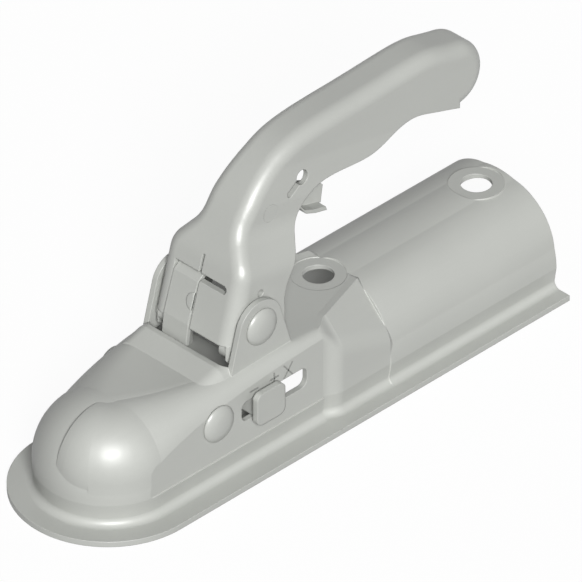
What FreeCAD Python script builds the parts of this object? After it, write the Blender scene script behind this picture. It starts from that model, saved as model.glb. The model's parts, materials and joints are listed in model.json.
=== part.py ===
import FreeCAD, Part
import Sketcher
import os
from math import acos, atan2, cos, exp, hypot, pi, radians, sin, sqrt, tan

# Trailer coupling head for a 50 mm ball, bolted on a round drawbar.
# The origin is the centre of the ball, +X points forward, +Y to the left and +Z up. Millimetres.

Vector = FreeCAD.Vector
Rotation = FreeCAD.Rotation
Placement = FreeCAD.Placement

doc = FreeCAD.newDocument("coupling_head")
sheet = doc.addObject("Spreadsheet::Sheet", "sizes")

# Driving dimensions: alias, value, meaning
SIZES = (
    ("gauge", 2.5, "steel sheet of the housing and the handle"),
    ("ball_radius", 25, "towing ball"),
    ("ball_gap", 0.4, "gap between the ball and its seat"),
    ("fit_gap", 0.05, "radial gap of a pin in a bore that turns"),
    ("side_gap", 0.4, "gap between pieces that pass each other"),
    ("base_level", -14.06, "underside of the flange"),
    ("flange_half", 40.4, "half-width of the flange and radius of its front"),
    ("flange_fillet", 3.2, "round between the flange and the wall"),
    ("rear_end", -220.3, "rear end of the housing"),
    ("nose_rise", 0.6, "how far the dome stands out of the flat side panels"),
    ("panel_half", 29.8, "outer face of the flat side panels"),
    ("deck_level", 30.5, "top of the deck"),
    ("waist_level", -1.5, "level under which the wall leans in"),
    ("foot_inset", 0.95, "how far the foot of the wall stands in"),
    ("dome_flat", 0.9, "radius of the flat spot on top of the dome"),
    ("ridge_corner", 22, "corner radius of the ridge on the left at the ball"),
    ("ridge_rise", 0.5, "how far the ridge on the left would stand out of the flat side panel"),
    ("ridge_end", 30, "where the ridge's round front end turns down, degrees from the long axis"),
    ("deck_corner", 3.6, "corner radius that the section tends to behind"),
    ("shoulder_reach", 36, "length over which the corner radius falls"),
    ("ridge_reach", 38, "length over which the ridge's corner radius falls"),
    ("seat_rear", -4, "rear edge of the ball seat"),
    ("valley_turn", 12, "how far the ridge's arc runs down to the deck behind its crest, degrees"),
    ("housing_seam", -90, "end of the flat panels, where the housing's front and rear nodes meet"),
    ("crest_inset", 3.1, "how far the shoulder's crest stands in from the panels at their end"),
    ("panel_corner", 5.3, "corner radius under the shoulder at the end of the panels"),
    ("cheek_half", 32.4, "half-width of the cheeks behind the panels"),
    ("cheek_front", -99, "front end of the cheeks"),
    ("cheek_end", -125.5, "rear end of the cheeks"),
    ("cheek_slope", 3.5, "length over which the cheeks fall to the tube"),
    ("cheek_drop", 2.4, "how far the cheeks fall there"),
    ("crest_front", 22.3, "crest of the cheek's facet at its front"),
    ("crest_rear", 13.7, "crest of the cheek's facet at its rear"),
    ("crest_width", 3.4, "distance from the deck's edge to the crest"),
    ("crest_rise", 0.4, "height of the crest over the deck"),
    ("cheek_corner", 12, "corner radius between the facet and the wall of the cheek"),
    ("bed_front", -98, "front end of the drawbar's bed"),
    ("tube_radius", 32.8, "outside of the drawbar seat"),
    ("tube_axis", -1.8, "level of the drawbar's axis"),
    ("bulge_low", 16, "lower edge of the side bulge, degrees above level"),
    ("bulge_high", 75, "upper edge of the side bulge, degrees above level"),
    ("bulge_radius", 25.5, "arc of the side bulge"),
    ("bolt_front", -117.2, "front bolt hole"),
    ("bolt_pitch", 90, "distance between the bolt holes"),
    ("bolt_bore", 6.5, "radius of a bolt hole, for M12"),
    ("bolt_pad", 11.5, "radius of the flat pad round a bolt hole"),
    ("pad_level", 30.2, "top of the pads"),
    ("collar_foot", -30.2, "where the collar rises from the deck"),
    ("collar_edge", -40, "top edge of the collar"),
    ("collar_level", 33.5, "top of the collar"),
    ("collar_round", 6, "round of the collar's ends"),
    ("opening_front", -42.3, "front edge of the handle opening"),
    ("opening_rear", -79, "rear edge of the handle opening"),
    ("opening_corner", 4, "corner radius of the handle opening"),
    ("ear_half", 24.8, "outer face of the ears"),
    ("ear_radius", 11.6, "round of the ears about the handle pivot"),
    ("ear_foot_front", -43.8, "front foot of the ears"),
    ("ear_foot_rear", -77, "rear foot of the ears"),
    ("pivot_x", -60.1, "handle pivot, along"),
    ("pivot_z", 46, "handle pivot, up"),
    ("pivot_shank", 4.5, "radius of the handle rivet"),
    ("rivet_head", 8.1, "radius of a rivet's domed head"),
    ("rivet_dome", 3.4, "height of a rivet's domed head"),
    ("closing_head", 6.2, "radius of the jaw rivet's flatter head on the right"),
    ("closing_dome", 1.8, "height of the jaw rivet's flatter head"),
    ("rivet_seat", 6.9, "radius of the flat seat under the flatter head"),
    ("jaw_x", -31.2, "jaw pivot, along"),
    ("jaw_z", 16, "jaw pivot, up"),
    ("jaw_shank", 4, "radius of the jaw rivet"),
    ("jaw_half", 13.8, "half-width of the jaw"),
    ("jaw_lug", 8, "round of the jaw about its pivot"),
    ("jaw_foot", -11.8, "lowest level of the jaw"),
    ("jaw_lip", -19.5, "front end of the jaw's lip"),
    ("heel_x", -40.3, "rear face of the jaw's heel"),
    ("heel_low", 2, "lower edge of the heel"),
    ("heel_high", 10, "upper edge of the heel"),
    ("window_front", -44.5, "front end of the indicator window"),
    ("window_rear", -81, "rear end of the indicator window"),
    ("window_low", 9.2, "lower edge of the indicator window"),
    ("window_high", 18.6, "upper edge of the indicator window"),
    ("window_corner", 3.2, "corner radius of the indicator window"),
    ("handle_half", 21.5, "half-width of the handle at the ears"),
    ("neck_half", 12, "half-width of the handle over the joggle"),
    ("neck_end", 101, "end of the neck, across the joggle's slope"),
    ("grip_start", 116, "start of the grip, across the joggle's slope"),
    ("grip_half", 10.3, "half-width of the grip"),
    ("joggle_slope", 11, "slope of the joggle lines, degrees"),
    ("joggle_low", 79, "start of the joggle, across its slope"),
    ("joggle_high", 91.4, "end of the joggle, across its slope"),
    ("handle_round", 6, "round of the handle's upper edges"),
    ("joggle_round", 12, "bend of the sheet at the joggle"),
    ("wall_hole", 1.6, "radius of the small hole in the handle walls"),
    ("wall_hole_x", -63.4, "small hole in the handle walls, along"),
    ("wall_hole_z", 58.5, "small hole in the handle walls, up"),
    ("lock_hole", 3.25, "radius of the keyhole for a lock"),
    ("lock_x", -97, "keyhole, along"),
    ("lock_z", 92.5, "keyhole, up"),
    ("lock_slot", 1.5, "half-width of the keyhole's slot"),
    ("lock_slot_x", -89.5, "end of the keyhole's slot, along"),
    ("lock_slot_z", 88.2, "end of the keyhole's slot, up"),
    ("web_x", -45, "foot of the handle's front web, along"),
    ("web_foot", 40, "foot of the handle's front web, up"),
    ("shoulder_x", -53, "upper end of the straight web, along"),
    ("shoulder_z", 68, "upper end of the straight web, up"),
    ("tip_x", -186.8, "centre of the grip's round tip, along"),
    ("tip_z", 95.8, "centre of the grip's round tip, up"),
    ("tip_radius", 14.9, "round of the grip's tip in the side view"),
    ("tip_start", 102, "start of the tip's round, degrees above level"),
    ("tip_end", 262, "end of the tip's round, degrees above level"),
    ("wall_rear", -76.8, "rear edge of the handle walls at the ears"),
    ("wall_foot", 31, "lower edge of the handle walls"),
    ("slot_low", 60, "lower edge of the slot in the web"),
    ("slot_high", 63.5, "upper edge of the slot in the web"),
    ("slot_half", 14.5, "half-width of the slot in the web"),
    ("slit_top", 71, "top of the narrow slit over the slot"),
    ("cam_x", -50.7, "cam stud, along"),
    ("cam_z", 36.6, "cam stud, up"),
    ("cam_head", 4.5, "radius of the cam stud's head"),
    ("cam_shank", 3, "radius of the cam stud's shank"),
    ("cam_lobe", 5.6, "round of the handle wall about the cam stud"),
    ("bush_wall", 1.5, "wall of the pivot bushes"),
    ("trigger_x", -78.6, "trigger pin, along"),
    ("trigger_z", 84.6, "trigger pin, up"),
    ("trigger_shank", 3.8, "radius of the trigger pin"),
    ("trigger_boss", 7, "round of the trigger lever about its pin"),
    ("lever_gauge", 2, "sheet of the trigger lever"),
    ("catch_right", -14, "right edge of the catch plate"),
    ("catch_left", -0.4, "left edge of the catch plate"),
    ("plate_right", 1.4, "right face of the lever's side plate"),
    ("plate_left", 3.4, "left face of the lever's side plate"),
    ("hub_radius", 5.3, "hub of the trigger lever"),
    ("slide_half", 18.4, "half-width of the lock slide"),
    ("slide_gauge", 3.1, "sheet of the lock slide"),
    ("slide_front", -40.7, "front face of the lock slide"),
    ("slide_rear", -66, "rear face of the lock slide"),
    ("slide_low", 1.6, "underside of the lock slide"),
    ("slide_top", 17.5, "top of the slide's bridge"),
    ("fork_face", -55.5, "face of the fork behind the cam studs"),
    ("fork_depth", 6.5, "length of the fork"),
    ("fork_top", 40.3, "top of the fork"),
    ("rail_front", -42, "front end of the rails"),
    ("rail_rear", -73, "rear end of the rails"),
    ("rail_half", 14.5, "inner edge of the rails"),
    ("rail_top", 1.2, "top of the rails"),
    ("rail_gauge", 2.5, "sheet of the rails"),
    ("rail_lip", 5, "upper edge of the rail's upright leg"),
    ("bracket_face", -92, "front face of the spring bracket"),
    ("bracket_half", 12, "half-width of the spring bracket"),
    ("bracket_low", 1, "lower edge of the spring bracket"),
    ("bracket_foot", 10, "length of the bracket's welded foot"),
    ("spring_z", 9.4, "axis of the lock spring"),
    ("spring_radius", 7, "mean radius of the lock spring"),
    ("spring_wire", 1.8, "wire of the lock spring"),
    ("spring_turns", 6, "turns of the lock spring"),
    ("stud_radius", 4.6, "studs inside the lock spring"),
    ("stud_length", 4, "length of the slide's stud"),
    ("rod_length", 6, "length of the guide rod"),
    ("tab_front", -48.9, "front edge of the indicator tab"),
    ("tab_rear", -64.4, "rear edge of the indicator tab"),
    ("tab_low", 7, "lower edge of the indicator tab"),
    ("tab_high", 22, "upper edge of the indicator tab"),
    ("tab_proud", 4.5, "how far the tab's outer face stands out of the panel"),
    ("tab_gauge", 2.8, "thickness of the indicator tab"),
    ("tab_corner", 3, "corner radius of the indicator tab"),
    ("neck_front", -51, "front face of the tab's neck"),
    ("neck_rear", -62.5, "rear face of the tab's neck"),
    ("pin_radius", 1.5, "radius of the indicator pins"),
    ("pin_pitch", 6, "distance between the indicator pins"),
    ("pin_depth", 6, "depth of the indicator pins in the tab's neck"),
    ("spacer_wall", 2.5, "wall of the jaw spacers"),
    ("spacer_relief", 2.4, "gap from the spacers to the flat wall, as they rest on its bend"),
    ("bush_proud", 0.3, "how far the bushes stand out of the handle wall"),
    ("cam_length", 3.8, "length of the cam stud's head"),
    ("catch_foot_x", -43.4, "lower end of the catch plate, along"),
    ("catch_foot_z", 31.5, "lower end of the catch plate, up"),
    ("catch_bend_x", -44.6, "lower bend of the catch plate, along"),
    ("catch_bend_z", 41.5, "lower bend of the catch plate, up"),
    ("catch_neck_x", -50.3, "bend where the catch plate goes inside, along"),
    ("catch_neck_z", 59.5, "bend where the catch plate goes inside, up"),
    ("catch_inner_x", -56.5, "bend behind the web, along"),
    ("catch_inner_z", 63.8, "bend behind the web, up"),
    ("catch_head_x", -60.5, "upper end of the catch plate, along"),
    ("catch_head_z", 74, "upper end of the catch plate, up"),
    ("finger_front_x", -98.4, "front of the finger plate, along"),
    ("finger_front_z", 76, "front of the finger plate, up"),
    ("finger_bend_x", -102.2, "bend of the finger plate, along"),
    ("finger_bend_z", 70.9, "bend of the finger plate, up"),
    ("finger_middle_x", -107.5, "middle of the finger plate, along"),
    ("finger_middle_z", 68.7, "middle of the finger plate, up"),
    ("finger_rear_x", -114, "rear edge of the finger plate, along"),
    ("finger_rear_z", 67, "rear edge of the finger plate, up"),
    ("finger_half", 8, "half-width of the finger plate"),
    ("torsion_wire", 1.2, "wire of the trigger spring"),
    ("torsion_turns", 3, "turns of the trigger spring"),
    ("torsion_leg", 7, "length of the trigger spring's legs"),
    ("torsion_spread", 60, "turn from the leg under the roof to the leg by the lever, degrees"),
)
for row, (alias, value, meaning) in enumerate(SIZES, start=1):
    sheet.set(f"A{row}", meaning)
    sheet.set(f"B{row}", str(value))
    sheet.setAlias(f"B{row}", alias)
doc.recompute()


def size(alias):
    """Value of one driving dimension."""
    return float(sheet.get(alias))


def formula(text):
    """Expression with each alias read from the sheet."""
    words = []
    word = ""
    for sign in str(text) + " ":
        if sign.isalnum() or sign in "_.":
            word += sign
            continue
        if word:
            known = any(word == alias for alias, _, _ in SIZES)
            words.append(f"sizes.{word}" if known else word)
            word = ""
        words.append(sign)
    return "".join(words).strip()


def evaluate(text):
    """Number that an expression gives now."""
    return float(sheet.evalExpression(formula(text)))


# Sketches and bodies


def origin_plane(body, role):
    return next(item for item in body.Origin.OriginFeatures if item.Role == role)


def add_sketch(body, name, role, corners, holes=(), offset="0"):
    """Closed outline of lines and arcs.

    A corner is (across, up) or (across, up, arc radius to the next corner).
    A positive radius bulges to the right of the way from this corner to the next.
    """
    sketch = body.newObject("Sketcher::SketchObject", name)
    sketch.AttachmentSupport = [(origin_plane(body, role), "")]
    sketch.MapMode = "FlatFace"
    sketch.setExpression("AttachmentOffset.Base.z", formula(offset))
    spots = [Vector(evaluate(corner[0]), evaluate(corner[1]), 0) for corner in corners]
    for place, corner in enumerate(corners):
        start = spots[place]
        end = spots[(place + 1) % len(spots)]
        if len(corner) == 3:
            sketch.addGeometry(arc_between(start, end, evaluate(corner[2])))
        else:
            sketch.addGeometry(Part.LineSegment(start, end))
    # An arc runs anticlockwise, so one that bulges to the left starts at the outline's next corner.
    heads = []
    tails = []
    for corner in corners:
        flipped = len(corner) == 3 and evaluate(corner[2]) < 0
        heads.append(2 if flipped else 1)
        tails.append(1 if flipped else 2)
    for place in range(len(corners)):
        after = (place + 1) % len(corners)
        sketch.addConstraint(Sketcher.Constraint("Coincident", place, tails[place], after, heads[after]))
    for place, corner in enumerate(corners):
        for axis, text in (("DistanceX", corner[0]), ("DistanceY", corner[1])):
            rule = Sketcher.Constraint(axis, -1, 1, place, heads[place], evaluate(text))
            sketch.setExpression(f"Constraints[{sketch.addConstraint(rule)}]", formula(text))
        if len(corner) == 3:
            rule = Sketcher.Constraint("Radius", place, abs(evaluate(corner[2])))
            sketch.setExpression(f"Constraints[{sketch.addConstraint(rule)}]", formula(f"abs({corner[2]})"))
    for across, up, radius in holes:
        centre = Vector(evaluate(across), evaluate(up), 0)
        circle = sketch.addGeometry(Part.Circle(centre, Vector(0, 0, 1), evaluate(radius)))
        for axis, text in (("DistanceX", across), ("DistanceY", up)):
            rule = Sketcher.Constraint(axis, -1, 1, circle, 3, evaluate(text))
            sketch.setExpression(f"Constraints[{sketch.addConstraint(rule)}]", formula(text))
        rule = Sketcher.Constraint("Radius", circle, evaluate(radius))
        sketch.setExpression(f"Constraints[{sketch.addConstraint(rule)}]", formula(radius))
    return sketch


def arc_between(start, end, radius):
    """Arc of the smaller angle; a positive radius puts its centre to the left of the way."""
    chord = end - start
    middle = (start + end) * 0.5
    left = Vector(-chord.y, chord.x, 0)
    left.normalize()
    rise = sqrt(max(radius * radius - chord.Length ** 2 / 4, 0))
    centre = middle + left * (rise if radius > 0 else -rise)
    first, last = (start, end) if radius > 0 else (end, start)
    circle = Part.Circle(centre, Vector(0, 0, 1), abs(radius))
    return Part.ArcOfCircle(circle, circle.parameter(first), circle.parameter(last))


def new_body(label):
    body = doc.addObject("PartDesign::Body", label)
    body.Label = label
    return body


def add_pad(body, name, corners, low, high, holes=()):
    """Outline in (X, Z), solid from Y = low to Y = high."""
    sketch = add_sketch(body, f"{name}_outline", "XZ_Plane", corners, holes, f"-({high})")
    pad = body.newObject("PartDesign::Pad", name)
    pad.Profile = sketch
    pad.setExpression("Length", formula(f"({high}) - ({low})"))
    doc.recompute()
    return pad


def round_pad(body, name, pad, radius, keep):
    """Rounds the edges along Y whose (X, Z) place passes keep."""
    chosen = []
    for number, edge in enumerate(pad.Shape.Edges, start=1):
        ends = [vertex.Point for vertex in edge.Vertexes]
        across = len(ends) == 2 and abs((ends[1] - ends[0]).y) > 0.99 * edge.Length
        if across and keep(ends[0].x, ends[0].z):
            chosen.append(f"Edge{number}")
    fillet = body.newObject("PartDesign::Fillet", name)
    fillet.Base = (pad, chosen)
    fillet.setExpression("Radius", formula(radius))
    doc.recompute()
    return fillet


def add_lathe(label, corners, axis="V_Axis"):
    """Turned piece: outline in (X, Y), turned about Y (V_Axis) or about X (H_Axis)."""
    body = new_body(label)
    sketch = add_sketch(body, f"{label}_outline", "XY_Plane", corners)
    turned = body.newObject("PartDesign::Revolution", f"{label}_turned")
    turned.Profile = sketch
    turned.ReferenceAxis = (sketch, [axis])
    turned.Angle = 360
    doc.recompute()
    return body


def place_at(body, x="0", y="0", z="0"):
    for axis, text in zip("xyz", (x, y, z)):
        body.setExpression(f"Placement.Base.{axis}", formula(text))


def add_plain(label, shape, placement=Placement()):
    """Piece whose form is worked out by the functions below."""
    piece = doc.addObject("Part::Feature", label)
    piece.Label = label
    piece.Shape = shape
    piece.Placement = placement
    return piece


# Plane outlines worked out from the sheet


def closed_wire(corners, plane):
    """Wire through corners of (across, up) or (across, up, arc radius to the next corner)."""
    edges = []
    for place, corner in enumerate(corners):
        after = corners[(place + 1) % len(corners)]
        start = Vector(corner[0], corner[1], 0)
        end = Vector(after[0], after[1], 0)
        if len(corner) == 2:
            edges.append(Part.makeLine(plane(start), plane(end)))
            continue
        arc = arc_between(start, end, corner[2])
        middle = arc.value((arc.FirstParameter + arc.LastParameter) / 2)
        edges.append(Part.Arc(plane(start), plane(middle), plane(end)).toShape())
    return Part.Wire(edges)


def across_at(x):
    """Plane across X: (Y, Z) to space."""
    return lambda spot: Vector(x, spot.x, spot.y)


def side_at(y):
    """Plane across Y: (X, Z) to space."""
    return lambda spot: Vector(spot.x, y, spot.y)


def level_at(z):
    """Plane across Z: (X, Y) to space."""
    return lambda spot: Vector(spot.x, spot.y, z)


def slab(corners, low, high):
    """Outline in (X, Z), solid from Y = low to Y = high."""
    return Part.Face(closed_wire(corners, side_at(low))).extrude(Vector(0, high - low, 0))


def box(x_low, x_high, y_low, y_high, z_low, z_high):
    return Part.makeBox(x_high - x_low, y_high - y_low, z_high - z_low, Vector(x_low, y_low, z_low))


def rod_along_y(x, z, radius, low, high):
    return Part.makeCylinder(radius, high - low, Vector(x, low, z), Vector(0, 1, 0))


def tangent_spot(x, z, centre_x, centre_z, radius, side):
    """Point where a line from (x, z) touches a circle; side is 1 or -1."""
    distance = hypot(x - centre_x, z - centre_z)
    turn = atan2(z - centre_z, x - centre_x) + side * acos(radius / distance)
    return centre_x + radius * cos(turn), centre_z + radius * sin(turn)


def mirror_y(shape):
    return shape.mirror(Vector(0, 0, 0), Vector(0, 1, 0))


# The housing


def nose_radius():
    """Outside of the dome, round the ball."""
    return size("panel_half") + size("nose_rise")


def dome_corner():
    """Corner radius of the section at the ball."""
    return nose_radius() - size("dome_flat")


def ridge_half():
    """Half-width of the ridge on the left, before the flat panel cuts it."""
    return size("panel_half") + size("ridge_rise")


def wall_foot_half(half):
    """Right-hand half of the outer section from the flange to the waist."""
    base = size("base_level")
    flange_top = base + size("gauge")
    fillet = size("flange_fillet")
    foot = half - size("foot_inset")
    return [
        (foot + fillet, base),
        (foot + fillet, flange_top, -fillet),
        (foot, flange_top + fillet),
        (half, size("waist_level")),
    ]


def outer_half(half, corner):
    """Right-hand half of the outer section, from the flange up to the deck."""
    deck = size("deck_level")
    return wall_foot_half(half) + [(half, deck - corner, corner), (half - corner, deck)]


def inner_half(half, corner):
    """Right-hand half of the inner section, open below."""
    inside = half - size("gauge")
    top = size("deck_level") - size("gauge")
    bend = corner - size("gauge")
    return [(inside, size("base_level") - 5), (inside, top - bend, bend), (inside - bend, top)]


def facet_half(part, crest_rear, inset, drop=0):
    """Right-hand half of a section with a slanted facet between wall and deck.

    The section is the panels' where part is 0 and the cheeks' where it is 1, and is moved in by an inset.
    """
    half = between("panel_half", "cheek_half", part) - drop / 2
    panel_crest = size("panel_half") - size("crest_inset")
    crest = panel_crest + (crest_rear - panel_crest) * part
    level = size("deck_level") - drop
    crest_level = level + size("crest_rise") * part
    facet = crest + crest_level - inset * sqrt(2)
    corner = between("panel_corner", "cheek_corner", part) - inset
    wall = half - inset
    length = corner * tan(radians(45 / 2))
    start = [(wall, size("base_level") - 5)] if inset else wall_foot_half(half)
    return start + [
        (wall, facet - wall - length, corner),
        (wall - length / sqrt(2), facet - wall + length / sqrt(2)),
        (facet - crest_level + inset, crest_level - inset),
        (facet - crest_level + inset - size("crest_width"), level - inset),
    ]


def between(first, second, part):
    """Value of a size on its way to another."""
    return size(first) + (size(second) - size(first)) * part


def whole_outline(half_outline):
    """A right-hand half and its mirror as one closed outline, each arc kept on its way round."""
    mirrored = []
    for place in range(len(half_outline) - 1, -1, -1):
        across, up = half_outline[place][:2]
        before = half_outline[place - 1] if place else ()
        mirrored.append((-across, up, before[2]) if len(before) == 3 else (-across, up))
    return list(half_outline) + mirrored


def shoulder_at(x):
    """Corner radius of the section between the dome and the rear of the panels."""
    end = size("deck_corner")
    return end + (dome_corner() - end) * exp(x / size("shoulder_reach"))


def ridge_at(x):
    """Corner radius of the ridge on the left shoulder."""
    end = size("deck_corner")
    return end + (size("ridge_corner") - end) * exp(x / size("ridge_reach"))


def front_places():
    """Places of the sections from the ball back to the end of the panels."""
    count = 7
    return [size("housing_seam") * (place / count) ** 1.4 for place in range(count + 1)]


def front_body(half_outline, half):
    """Loft of the sections from the ball back to the end of the panels."""
    wires = []
    for x in front_places():
        outline = half_outline(half, shoulder_at(x))
        wires.append(closed_wire(whole_outline(outline), across_at(x)))
    return Part.makeLoft(wires, True, False)


def ridge_outline(corner):
    """Section of the ridge, whose arc runs past its crest down to the deck."""
    half = ridge_half()
    turn = radians(size("valley_turn"))
    level = size("deck_level") - corner
    inner = half - corner - corner * sin(turn)
    foot = size("waist_level") + 1
    return [(half, foot), (half, level, corner), (inner, level + corner * cos(turn)), (inner, foot)]


def ridge_body():
    """Raised ridge along the left shoulder, which ends in a ball-shaped front."""
    wires = []
    for x in front_places():
        wires.append(closed_wire(ridge_outline(ridge_at(x)), across_at(x)))
    corner = size("ridge_corner")
    reach = ridge_half() - corner
    turn = radians(90 - size("ridge_end"))
    front = Part.Face(closed_wire(ridge_outline(corner), across_at(0)))
    round_end = front.revolve(Vector(0, 0, 0), Vector(0, 0, 1), size("ridge_end") - 90)
    centre = Vector(reach * sin(turn), reach * cos(turn), size("deck_level") - corner)
    ridge = Part.makeLoft(wires, True, False).fuse([round_end, Part.makeSphere(corner, centre)])
    return ridge.common(box(size("housing_seam"), 60, 0, size("panel_half"), size("waist_level") + 1, 60))


def step_body(inset=0):
    """Smooth step from the panels out to the cheeks, or the room in it."""
    count = 4
    wires = []
    for place in range(count + 1):
        part = place / count
        swing = part * part * (3 - 2 * part)
        outline = facet_half(swing, size("crest_front"), inset)
        x = between("housing_seam", "cheek_front", part)
        wires.append(closed_wire(whole_outline(outline), across_at(x)))
    return Part.makeLoft(wires, True, bool(inset))


def cheek_body(inset=0):
    """Ruled loft from the step to the drawbar tube, or the room in it."""
    places = [("crest_front", size("cheek_front"), 0), ("crest_rear", size("cheek_end") + inset, 0)]
    if not inset:
        places.append(("crest_rear", size("cheek_end") - size("cheek_slope"), size("cheek_drop")))
    wires = []
    for crest, x, drop in places:
        outline = facet_half(1, size(crest) - drop, inset, drop)
        wires.append(closed_wire(whole_outline(outline), across_at(x)))
    return Part.makeLoft(wires, True, True)


def dome_body():
    """Front half of the dome, turned about the upright axis of the ball."""
    half = outer_half(nose_radius(), dome_corner())
    outline = half + [(0, half[-1][1]), (0, size("base_level"))]
    face = Part.Face(closed_wire(outline, lambda spot: Vector(0, -spot.x, spot.y)))
    return face.revolve(Vector(0, 0, 0), Vector(0, 0, 1), 180)


def tube_body():
    """Rear part of the housing that sits over the drawbar."""
    radius = size("tube_radius")
    axis = size("tube_axis")
    half = wall_foot_half(radius)[:3] + [(radius, axis, radius)]
    outline = half + [(0, axis + radius, radius)] + whole_outline(half)[len(half):]
    wire = closed_wire(outline, across_at(size("cheek_end")))
    return Part.Face(wire).extrude(Vector(size("rear_end") - size("cheek_end"), 0, 0))


def side_bulge():
    """Shallow arched area on the left of the tube, over the drawbar's clamp zone."""
    radius = size("tube_radius")
    low = radians(size("bulge_low"))
    high = radians(size("bulge_high"))
    axis = size("tube_axis")
    outline = [
        (radius * cos(low), axis + radius * sin(low), size("bulge_radius")),
        (radius * cos(high), axis + radius * sin(high)),
        (radius * cos(high) - 2, axis + radius * sin(high) - 6),
        (radius * cos(low) - 6, axis + radius * sin(low) - 2),
    ]
    wire = closed_wire(outline, across_at(size("cheek_end")))
    return Part.Face(wire).extrude(Vector(size("rear_end") - size("cheek_end"), 0, 0))


def flange_plate():
    half = size("flange_half")
    rear = size("rear_end")
    outline = [(0, -half, half), (half, 0, half), (0, half), (rear, half), (rear, -half)]
    face = Part.Face(closed_wire(outline, level_at(size("base_level"))))
    return face.extrude(Vector(0, 0, size("gauge")))


def collar_body():
    """Raised front lip of the handle opening, with rounded ends."""
    level = size("collar_level")
    rear = size("ear_foot_front") - 3
    under = size("deck_level") - 9
    half = size("ear_half")
    foot = size("collar_foot")
    outline = [(foot, size("deck_level")), (foot, under), (rear, under), (rear, level)]
    outline.append((size("collar_edge"), level))
    body = slab(outline, -half, half)
    ends = []
    for edge in body.Edges:
        middle = edge.CenterOfMass
        at_side = abs(abs(middle.y) - half) < 0.01
        if at_side and middle.z > size("deck_level") + 0.1 and middle.x > rear + 0.1:
            ends.append(edge)
    return body.makeFillet(size("collar_round"), ends)


def ear_body():
    """Left ear that carries the handle rivet."""
    centre = (size("pivot_x"), size("pivot_z"))
    radius = size("ear_radius")
    level = size("deck_level")
    front = tangent_spot(size("ear_foot_front"), level, *centre, radius, 1)
    rear = tangent_spot(size("ear_foot_rear"), level, *centre, radius, -1)
    under = level - 6
    outline = [(size("ear_foot_front"), under), (size("ear_foot_front"), level), (*front, radius),
               (centre[0], centre[1] + radius, radius), rear, (size("ear_foot_rear"), level),
               (size("ear_foot_rear"), under)]
    return slab(outline, size("ear_half") - size("gauge"), size("ear_half"))


def bolt_places():
    return (size("bolt_front"), size("bolt_front") - size("bolt_pitch"))


def rounded_box(x_low, x_high, half, z_low, z_high, corner):
    """Block with upright rounded corners."""
    block = box(x_low, x_high, -half, half, z_low, z_high)
    upright = [edge for edge in block.Edges if abs(edge.tangentAt(edge.FirstParameter).z) > 0.9]
    return block.makeFillet(corner, upright)


def rounded_slot(x_low, x_high, z_low, z_high, y_low, y_high, corner):
    """Block along Y with rounded corners in the side view."""
    block = box(x_low, x_high, y_low, y_high, z_low, z_high)
    along = [edge for edge in block.Edges if abs(edge.tangentAt(edge.FirstParameter).y) > 0.9]
    return block.makeFillet(corner, along)


def housing_cavity():
    """Everything inside the sheet: the ball seat, the room for the mechanism and the drawbar's bed."""
    below = size("base_level") - 5
    seat = size("ball_radius") + size("ball_gap")
    ball = Part.makeSphere(seat)
    mouth = Part.makeCylinder(seat, -below, Vector(0, 0, below))
    room = front_body(inner_half, size("panel_half"))
    room = room.common(box(size("housing_seam") - 1, size("seat_rear"), -40, 40, below, 40))
    bed_radius = size("tube_radius") - size("gauge")
    bed_start = size("bed_front")
    bed_length = bed_start - size("rear_end") + 5
    axis = size("tube_axis")
    bed = Part.makeCylinder(bed_radius, bed_length, Vector(bed_start, 0, axis), Vector(-1, 0, 0))
    skirt = box(bed_start - bed_length, bed_start, -bed_radius, bed_radius, below, axis)
    return ball.fuse([mouth, room, step_body(size("gauge")), cheek_body(size("gauge")), bed, skirt])


def housing_body():
    """The whole pressing, before it is parted at its step."""
    sides = box(size("rear_end") - 1, 60, -size("panel_half"), size("panel_half"), size("waist_level"), 60)
    lower = box(size("rear_end") - 1, 60, -60, 60, size("base_level"), size("waist_level"))
    dome = dome_body()
    front = front_body(outer_half, nose_radius())
    head = dome.fuse(front).common(sides.fuse(lower))
    seat = rod_along_y(size("jaw_x"), size("jaw_z"), size("rivet_seat"), -size("panel_half"), 0)
    ears = [ear_body(), mirror_y(ear_body())]
    bulges = [side_bulge(), mirror_y(side_bulge())]
    pads = []
    for x in bolt_places():
        pads.append(Part.makeCylinder(size("bolt_pad"), 12, Vector(x, 0, size("pad_level") - 12)))
    plain = [step_body(), cheek_body(), tube_body(), flange_plate(), collar_body()]
    body = head.fuse(plain + ears + bulges + pads + [ridge_body(), seat])
    for x in bolt_places():
        body = body.cut(Part.makeCylinder(size("bolt_pad"), 10, Vector(x, 0, size("pad_level"))))
        body = body.cut(Part.makeCylinder(size("bolt_bore"), 40, Vector(x, 0, 10)))
    body = body.cut(housing_cavity())
    opening = rounded_box(size("opening_rear"), size("opening_front"), size("ear_half") - size("gauge"),
                          size("deck_level") - 12, 70, size("opening_corner"))
    window = rounded_slot(size("window_rear"), size("window_front"), size("window_low"), size("window_high"),
                          20, 40, size("window_corner"))
    jaw_bore = rod_along_y(size("jaw_x"), size("jaw_z"), size("jaw_shank"), -40, 40)
    pivot_bore = rod_along_y(size("pivot_x"), size("pivot_z"), size("pivot_shank"), -40, 40)
    return body.cut([opening, window, jaw_bore, pivot_bore]).removeSplitter()


def add_housing():
    """The pressing as a front and a rear node, which meet over the full section of the sheet."""
    body = housing_body()
    seam = size("housing_seam")
    for label, rear, front in (("housing_front", seam, 60), ("housing_rear", size("rear_end") - 5, seam)):
        add_plain(label, body.common(box(rear, front, -60, 60, -60, 90)))


# The handle


def web_line(z, inset=0):
    """Place along X of the front web's face at a level, or of its inner face."""
    slope = (size("shoulder_x") - size("web_x")) / (size("shoulder_z") - size("web_foot"))
    return size("web_x") + (z - size("web_foot")) * slope - inset * sqrt(1 + slope * slope)


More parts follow.
